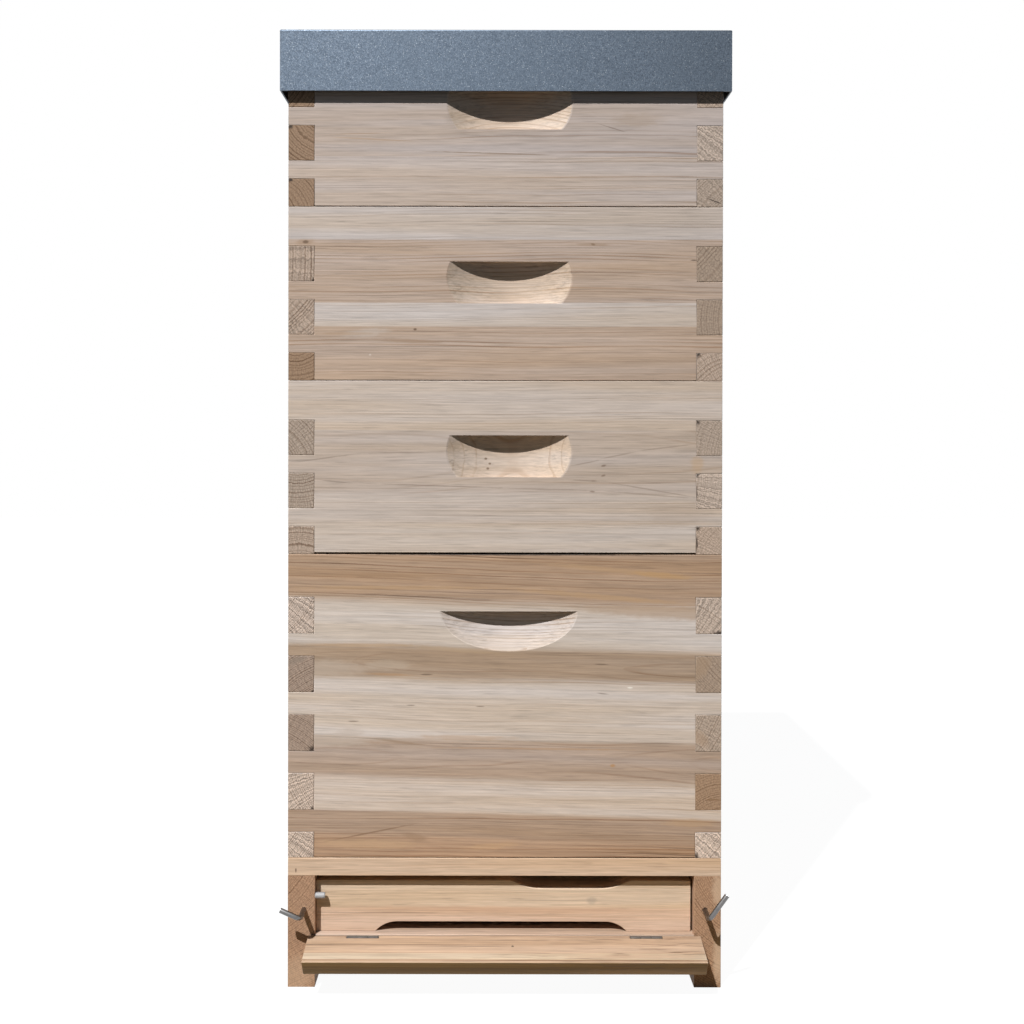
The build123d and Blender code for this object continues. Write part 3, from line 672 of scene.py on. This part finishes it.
# The near black lines along the board's head and foot are painted shade in the seams between boxes.
brood_marks = [
    (110, 271.5, 110, 2.5, 0, ochre, 0.6), (310, 263, 105, 3.2, -0.085, ochre, 0.6),
    (325, 289.5, 85, 3.2, -0.095, ochre, 0.5), (375, 284.5, 36, 3.6, -0.07, (0.46, 0.27, 0.12), 0.55),
    (110, 284, 90, 3, 0, rust, 0.3), (75, 214, 75, 2.2, 0, ochre, 0.45), (217, 304.7, 188, 0.8, 0, chip_and_seam_shade, 0.9),
    (170, 209, 60, 3, -0.08, (0.42, 0.29, 0.18), 0.5), (123, 153.5, 5, 0.7, 0, crack, 0.5),
    (193, 152.5, 5, 0.7, 0, crack, 0.5), (316, 165.5, 7, 0.8, -0.1, crack, 0.5),
    (385, 247, 110, 8, -0.05, (0.41, 0.28, 0.19), 0.6), (100, 194, 28, 6, 0, (0.50, 0.40, 0.31), 0.45),
    (100, 184.5, 29, 1.6, -0.03, rust, 0.6), (139, 184.5, 7, 0.9, 0, crack, 0.6),
    (315, 195, 9, 0.9, 0, crack, 0.6),
    (343, 171.5, 3.0, 0.9, 0, (0.80, 0.74, 0.66), 0.9), (110, 117, 32, 1.3, -0.12, (0.27, 0.18, 0.11), 0.5),
    (65, 137.4, 6, 0.8, 0, crack, 0.6), (326, 93.3, 3, 2, 0, (0.42, 0.23, 0.10), 0.8),
    (84, 25.6, 52, 1.0, 0.2, (0.20, 0.12, 0.07), 0.65), (81, 14, 60, 6, -0.02, (0.56, 0.37, 0.22), 0.4),
    (128, 21, 14, 5, -0.2, (0.29, 0.185, 0.115), 0.5), (204, 12, 34, 4, 0.08, (0.53, 0.33, 0.18), 0.4),
    (30, 190, 60, 11, 0, (0.50, 0.40, 0.32), 0.6), (40, 118, 52, 7, 0, (0.53, 0.44, 0.37), 0.55),
    (62, 124, 16, 8, 0, (0.50, 0.41, 0.345), 0.5), (178, 121, 60, 3, -0.02, (0.47, 0.31, 0.20), 0.5),
    (404, 35.6, 31, 5, 0, ochre, 0.45), (290, 0.4, 150, 0.8, 0, chip_and_seam_shade, 0.9),
    (250, 110, 120, 1.2, -0.01, rust, 0.5),
]
# The near black chips are painted shade in their hollows.
brood_chips = {
    "left": [
        (26, 108, 6, 6.5, 0, chip_and_seam_shade, 0.97), (26, 48, 4.5, 4.5, 0, chip_and_seam_shade, 0.97),
        (26, 166, 3.5, 3.5, 0, chip_and_seam_shade, 0.97), (7, 198, 15, 4, 0.35, (0.27, 0.21, 0.165), 0.6),
    ],
    "right": [
        (25, 226, 9, 3, 0, chip_and_seam_shade, 0.95), (0, 1, 5, 5, 0, chip_and_seam_shade, 0.97),
        (4, 193, 13, 15, 0.5, (0.35, 0.24, 0.155), 0.6), (4, 121, 11, 9, -0.5, (0.38, 0.26, 0.175), 0.55),
        (18, 59, 9, 1.2, 0, (0.20, 0.11, 0.055), 0.65),
    ],
}
pin_ring_widths = {"left": 1.9, "right": 2.6}
for side in ("front", "back", "left", "right"):
    node = f"brood_{side}_board"
    fresh = (*outer_faces[side], brood_fresh, *brood_fresh_painted_light) if side in outer_faces else None
    brood_wood = timber_finish(
        f"{node}_wood", node, "XYZ" if fresh else "YXZ", brood_strips[side],
        ring_width=pin_ring_widths.get(side, 3.0), ring_strength=0.7 if side == "right" else 1.1,
        streaks=1.8, sway=2.2, fresh=fresh, painted_light_fade=brood_painted_light_fade if fresh else None,
        tilt=0.022 if side == "front" else 0.0, marks=brood_marks if side == "front" else (),
        end_marks=brood_chips.get(side, ()),
    )
    worked_piece(node, brood_wood, ease=0.5, foot_gap=0.8 if fresh else 0.2)

# Supers
# Three shallower boxes of the same make stand on the brood box, with the same fingers and handholds.
# Each board is glued from two to four strips, which show as bands of different tone.
super_fresh = (0.555, 0.437, 0.344)
# Painted shade and light: the handhold's wood is painted darker at its left end and lighter at its right.
super_fresh_painted_light = (0.84, 1.12)
# Painted light: the front and back boards are painted lighter towards one end and darker towards the other,
# for the light falling off across the hive.
super_painted_light_fade = (1.05, 0.935)
vein = (0.25, 0.19, 0.15)
super_borders = (0, 37, 91, 144)
foot_gaps = {"super_1": 1.8, "super_2": 0.5, "super_3": 0.8}
super_strips = {
    "super_1": {
        "front": [
            (0, (0.553, 0.462, 0.393), 10, -160, 61, 0), (30, (0.526, 0.429, 0.356), -30, 260, 62, 2),
            (61, (0.488, 0.397, 0.335), -60, 100, 63, 3), (124, (0.553, 0.456, 0.384), 15, -180, 64, 2),
        ],
        "back": [(0, pale, 20, -80, 65, 0), (66, tan, -40, 220, 66, 2), (118, pale, 30, 20, 67, 2)],
        "left": [(tan, 13, -30, 11), (grey, 13, 75, 12), (grey, -35, -10, 13), (tan, 60, 40, 14)],
        "right": [(tan, 60, -20, 15), (pale, -70, 40, 16), (grey, 60, 10, 17), (tan, -50, 40, 18)],
    },
    "super_2": {
        "front": [
            (0, (0.475, 0.351, 0.267), 30, -120, 71, 0), (54.5, (0.561, 0.477, 0.419), 10, 240, 72, 1),
            (78, (0.475, 0.358, 0.281), -8, 40, 73, 1), (141, (0.53, 0.447, 0.392), -10, -100, 74, 1),
        ],
        "back": [(0, tan, 30, -70, 75, 0), (52, pale, -20, 240, 76, 2), (109, pale, 40, 130, 77, 2)],
        "left": [(brown, 5, 50, 31), (tan, -80, 120, 32), (tan, -220, 30, 33), (pale, 40, 60, 34)],
        "right": [(tan, 40, -30, 35), (umber, 85, 25, 36), (umber, -80, 120, 37), (pale, -70, 40, 38)],
    },
    "super_3": {
        "front": [(0, (0.52, 0.426, 0.367), 20, -150, 81, 0), (50, (0.475, 0.388, 0.338), 60, 30, 82, 3)],
        "back": [(0, pale, 20, -90, 85, 0), (80, tan, -30, 260, 86, 2)],
        "left": [(brown, -20, -10, 51), (brown, 40, 60, 52), (brown, -60, 70, 53), (tan, 60, 40, 54)],
        "right": [(grey, 90, -60, 55), (pale, -80, 90, 56), (tan, -60, 60, 57), (pale, -40, 40, 58)],
    },
}
super_marks = {
    "super_1": [
        (316, 89.2, 2.8, 1.3, 0.2, knot, 0.6), (316, 79.4, 2.6, 1.2, 0.2, knot, 0.6),
        (306, 74, 4.0, 1.0, 0, knot, 0.45), (305, 63.3, 3.2, 1.1, -0.1, knot, 0.5),
        (410, 91, 8, 10, 0, (0.50, 0.32, 0.17), 0.4),
        (388, 41, 36, 14, 0, (0.38, 0.29, 0.225), 0.35), (198, 96, 1.6, 1.3, 0, knot, 0.8),
        (202, 91, 1.6, 1.3, 0, knot, 0.8), (200, 86, 1.6, 1.3, 0, knot, 0.8),
        (36, 96.3, 38, 0.9, 0.14, vein, 0.5), (113, 102, 48, 0.9, 0.023, vein, 0.5),
        (47, 73, 21, 0.9, -0.1, vein, 0.5), (145, 69, 80, 0.9, -0.03, vein, 0.5),
        (296, 91.5, 17, 0.9, 0.20, vein, 0.5), (330, 99.5, 22, 0.9, 0.2, vein, 0.5),
        (378, 107.5, 34, 0.9, 0.12, vein, 0.5), (296, 74.5, 18, 0.9, -0.06, vein, 0.5),
        (365, 65, 55, 0.9, -0.17, vein, 0.5),
        (260, 65.5, 60, 0.9, -0.02, vein, 0.45), (365, 60, 52, 0.9, -0.08, vein, 0.45),
    ],
    "super_2": [
        (17, 138.6, 12, 3.4, 0, (0.34, 0.21, 0.12), 0.5), (17.4, 138.8, 3.4, 1.9, 0, knot, 0.8),
        (305, 136.6, 2.6, 1.3, -0.2, knot, 0.8), (78, 48, 28, 5, 0.1, (0.60, 0.52, 0.46), 0.4),
        (305, 136.6, 24, 1.7, 0, (0.32, 0.21, 0.13), 0.5),
        (120, 39.8, 40, 2.6, -0.05, (0.33, 0.21, 0.13), 0.5),
        (60, 47, 30, 2.0, 0, (0.40, 0.26, 0.16), 0.4), (127, 51.6, 2, 1.3, 0, knot, 0.9),
        (82, 26, 1.5, 1.2, 0, (0.66, 0.56, 0.48), 0.8), (406, 121, 5, 0.9, 0, crack, 0.8),
        (340, 114, 60, 4, 0, (0.40, 0.28, 0.19), 0.35), (150, 128, 100, 2.2, -0.01, (0.52, 0.36, 0.25), 0.4),
    ],
    "super_3": [
        (349, 87, 30, 8, 0, (0.36, 0.25, 0.16), 0.32), (324, 79, 14, 0.7, -0.3, crack, 0.45),
        (205, 53.5, 80, 0.8, -0.03, (0.24, 0.165, 0.105), 0.6), (84, 67.5, 48, 1.0, -0.05, rust, 0.4),
        (70, 73, 34, 0.8, 0.03, rust, 0.35), (167, 88, 12, 9, 0, (0.31, 0.24, 0.185), 0.3),
    ],
}
# The near black chips are painted shade in their hollows.
super_chips = {
    "super_1": {
        "right": [
            (0, 134.5, 5, 5, 0, chip_and_seam_shade, 0.97), (0, 81.5, 4.5, 4.5, 0, chip_and_seam_shade, 0.97), (0, 28, 5, 5, 0, chip_and_seam_shade, 0.97),
            (0, 62, 1.5, 9, 0, chip_and_seam_shade, 0.9), (0, 12, 2, 8, 0, chip_and_seam_shade, 0.95),
        ],
    },
    "super_2": {"right": [(0, 28, 5, 5, 0, chip_and_seam_shade, 0.97)], "left": [(26, 100, 3.5, 3.5, 0, chip_and_seam_shade, 0.97)]},
    "super_3": {
        "left": [(2, 80, 3.5, 2.5, 0, chip_and_seam_shade, 0.95), (2, 27, 3.5, 2.5, 0, chip_and_seam_shade, 0.95)],
        "right": [(18, 6, 9, 0.7, -0.375, chip_and_seam_shade, 0.9)],
    },
}
pin_rings = {"super_1_right_board": 0.35, "super_2_right_board": 0.6, "super_3_right_board": 0.7}
for name in ("super_1", "super_2", "super_3"):
    for side in ("front", "back", "left", "right"):
        node = f"{name}_{side}_board"
        cuts = super_strips[name][side]
        fresh = (*outer_faces[side], super_fresh, *super_fresh_painted_light) if side in outer_faces else None
        super_wood = timber_finish(
            f"{node}_wood", node, "XYZ" if fresh else "YXZ",
            cuts if fresh else pin_strips(super_borders, cuts),
            ring_width=3.0 if fresh else 3.2, ring_strength=pin_rings.get(node, 1.1), streaks=1.5, sway=0.6,
            fresh=fresh, painted_light_fade=super_painted_light_fade if fresh else None,
            marks=super_marks[name] if side == "front" else (),
            end_marks=super_chips[name].get(side, ()),
        )
        worked_piece(node, super_wood, ease=0.5, foot_gap=foot_gaps[name] if fresh else 0.2)

# Frames
# Ten frames hang in each box: a thick top bar with lugs, two side bars and a thin bottom bar.
# They are machined from clear lime wood and nailed together.
frame_tone = (0.60, 0.48, 0.355)
frame_count = 10
for box_name in ("brood", "super_1", "super_2", "super_3"):
    for part, axes in (("top_bars", "YZX"), ("side_bars", "ZYX"), ("bottom_bars", "YZX")):
        node = f"{box_name}_{part}"
        low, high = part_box(node)
        pitch = (high.x - low.x) / mm / frame_count
        # Each bar is cut from its own place in the log
        bar_strips = [(pitch * bar, frame_tone, 60 - 12 * bar, pitch * bar + 40 - 9 * bar, 21 + 3 * bar, 0)
                      for bar in range(frame_count)]
        frame_wood = timber_finish(f"{node}_wood", node, axes, bar_strips, ring_strength=0.3, streaks=0.5)
        worked_piece(node, frame_wood, ease=0.3)

# Crown board
# A thin sheet of hardboard lies loose on the top super's frames, under the roof.
# It keeps the bees from sticking the roof down.
crown_tone = (0.33, 0.21, 0.13)
crown_wood = timber_finish(
    "crown_board_wood", "crown_board", "XZY", [(0, crown_tone, 300, 200, 2, 0)],
    ring_width=9.0, ring_strength=0.15, streaks=0.3,
)
worked_piece("crown_board", crown_wood, ease=0.3, suffix="cut")

# Roof
# One sheet of steel folded into a shallow pan, with its lower edge hemmed inwards.
# It is coated with blue-grey structured paint, which feels like fine sandpaper; its glints are painted
# highlights, pale flecks in the paint's colour.
roof_dark = (0.052, 0.071, 0.100, 1.0)
roof_light = (0.172, 0.216, 0.276, 1.0)
roof_even = (0.105, 0.137, 0.178, 1.0)
roof_painted_glint_colour = (0.42, 0.46, 0.50, 1.0)
roof_painted_sheen_left = 1.08
roof_painted_sheen_drop = 0.43
roof_paint, roof_tree, roof_shader = new_finish("roof_structured_paint")
roof_where = roof_tree.nodes.new("ShaderNodeTexCoord").outputs["Object"]
roof_grit = cloud(roof_tree, roof_where, (760.0, 760.0, 760.0), 3.0, 0.7)
roof_clouds = cloud(roof_tree, roof_where, (16.0, 16.0, 16.0), 2.0)
# Painted glints: pale flecks in the paint's colour stand in for the sun glinting on the grit.
roof_painted_glint = spread(roof_tree, cloud(roof_tree, roof_where, (1150.0, 1150.0, 1150.0), 1.0), 0.66, 0.76)
roof_base = blend_colours(roof_tree, spread(roof_tree, roof_grit, 0.25, 0.75), roof_dark, roof_light)
roof_evened = spread(roof_tree, roof_clouds, 0.3, 0.7, 0.0, 0.35)
roof_base = blend_colours(roof_tree, roof_evened, roof_base, roof_even)
roof_colour = blend_colours(roof_tree, roof_painted_glint, roof_base, roof_painted_glint_colour)
# Painted sheen: the paint's colour is lighter on the left and darker towards the right, for the sun's sheen
# falling off across the roof
roof_low, roof_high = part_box("roof_pan")
roof_across = calc(roof_tree, "SUBTRACT", axes_of(roof_tree, roof_where)[0], roof_low.x)
roof_across = calc(roof_tree, "DIVIDE", roof_across, roof_high.x - roof_low.x)
roof_bend = calc(roof_tree, "POWER", roof_across, 1.8)
roof_painted_sheen = calc(roof_tree, "MULTIPLY_ADD", roof_bend, -roof_painted_sheen_drop, roof_painted_sheen_left)
roof_tree.links.new(dimmed(roof_tree, roof_colour, roof_painted_sheen), roof_shader.inputs["Base Color"])
roof_shader.inputs["Metallic"].default_value = 0.6
roof_tree.links.new(calc(roof_tree, "MULTIPLY_ADD", roof_grit, 0.2, 0.36), roof_shader.inputs["Roughness"])
roof_relief = roof_tree.nodes.new("ShaderNodeBump")
roof_relief.inputs["Strength"].default_value = 0.4
roof_relief.inputs["Distance"].default_value = 0.25 * mm
roof_tree.links.new(roof_grit, roof_relief.inputs["Height"])
roof_tree.links.new(roof_relief.outputs["Normal"], roof_shader.inputs["Normal"])
worked_piece("roof_pan", roof_paint, ease=0.2, suffix="folded")


# Studio
# A pale floor and a white ground, which send a weak warm and a weak cool light back to the hive.
# A crisp lamp stands high on the left in front, and a soft weak one behind on the right.
# The camera stands a little over a metre in front of the hive, at a little over half its height.
def seen_directly(tree):
    """Whether a ray comes from the camera, straight or by a mirror or glass, and not from a dull surface."""
    path = tree.nodes.new("ShaderNodeLightPath").outputs
    return calc(tree, "MAXIMUM", path["Is Camera Ray"],
                calc(tree, "MAXIMUM", path["Is Glossy Ray"], path["Is Transmission Ray"]))


def sun_lamp(name, towards, energy, colour, width):
    """A lamp that shines from one way on everything, as wide as an angle in degrees."""
    light = bpy.data.lights.new(name, "SUN")
    light.energy = energy
    light.color = colour
    light.angle = math.radians(width)
    lamp = bpy.data.objects.new(name, light)
    lamp.rotation_euler = Vector(towards).to_track_quat("Z", "Y").to_euler()
    bpy.context.scene.collection.objects.link(lamp)


floor_shape = bmesh.new()
bmesh.ops.create_grid(floor_shape, x_segments=1, y_segments=1, size=6.0)
floor_mesh = bpy.data.meshes.new("studio_floor")
floor_shape.to_mesh(floor_mesh)
floor_shape.free()
near_reach = 0.7
far_reach = 1.1
near_bounce = (0.26, 0.185, 0.080, 1.0)
far_bounce = (0.03, 0.04, 0.050, 1.0)
floor_grey = (0.07, 0.07, 0.07, 1.0)
floor_glow = (0.95, 0.95, 0.95, 1.0)
no_glow = (0.0, 0.0, 0.0, 1.0)
floor_finish, floor_tree, floor_shader = new_finish("studio_floor_white")
floor_shader.inputs["Roughness"].default_value = 0.9
floor_shader.inputs["Specular IOR Level"].default_value = 0.0
floor_seen = seen_directly(floor_tree)
floor_place = axes_of(floor_tree, floor_tree.nodes.new("ShaderNodeTexCoord").outputs["Object"])
floor_reach = calc(floor_tree, "MULTIPLY_ADD", floor_place[0], floor_place[0],
                   calc(floor_tree, "MULTIPLY", floor_place[1], floor_place[1]))
floor_away = spread(floor_tree, calc(floor_tree, "SQRT", floor_reach), near_reach, far_reach)
floor_bounce = blend_colours(floor_tree, floor_away, near_bounce, far_bounce)
floor_colour = blend_colours(floor_tree, floor_seen, floor_bounce, floor_grey)
floor_tree.links.new(floor_colour, floor_shader.inputs["Base Color"])
floor_light = blend_colours(floor_tree, floor_seen, no_glow, floor_glow)
floor_tree.links.new(floor_light, floor_shader.inputs["Emission Color"])
floor_shader.inputs["Emission Strength"].default_value = 1.0
floor_mesh.materials.append(floor_finish)
floor_piece = bpy.data.objects.new("studio_floor", floor_mesh)
bpy.context.scene.collection.objects.link(floor_piece)

cool_fill = (0.030, 0.050, 0.072, 1.0)
plain_white = (1.0, 1.0, 1.0, 1.0)
ground = bpy.data.worlds.new("white_ground")
ground.use_nodes = True
ground_tree = ground.node_tree
ground_colour = blend_colours(ground_tree, seen_directly(ground_tree), cool_fill, plain_white)
ground_tree.links.new(ground_colour, ground_tree.nodes["Background"].inputs["Color"])
bpy.context.scene.world = ground

sun_lamp("high_left_lamp", (-0.6, -1.0, 1.6), 5.5, (0.96, 0.975, 0.985), 1.2)
sun_lamp("back_lamp", (0.8, 1.0, 0.45), 2.4, (0.97, 0.985, 1.0), 25.0)

camera_data = bpy.data.cameras.new("front_camera")
camera_data.sensor_width = 36.0
camera_data.lens = 38.39
camera_data.shift_x = 0.01926
camera_data.shift_y = -0.06713
camera_data.clip_start = 0.05
camera = bpy.data.objects.new("front_camera", camera_data)
camera.location = (-0.01302, -1.32769, 0.55305)
camera.rotation_euler = (math.radians(90.0 - 0.341), math.radians(-0.104), 0.0)
bpy.context.scene.collection.objects.link(camera)
bpy.context.scene.camera = camera
bpy.context.scene.view_settings.view_transform = "Standard"

bpy.context.view_layer.update()
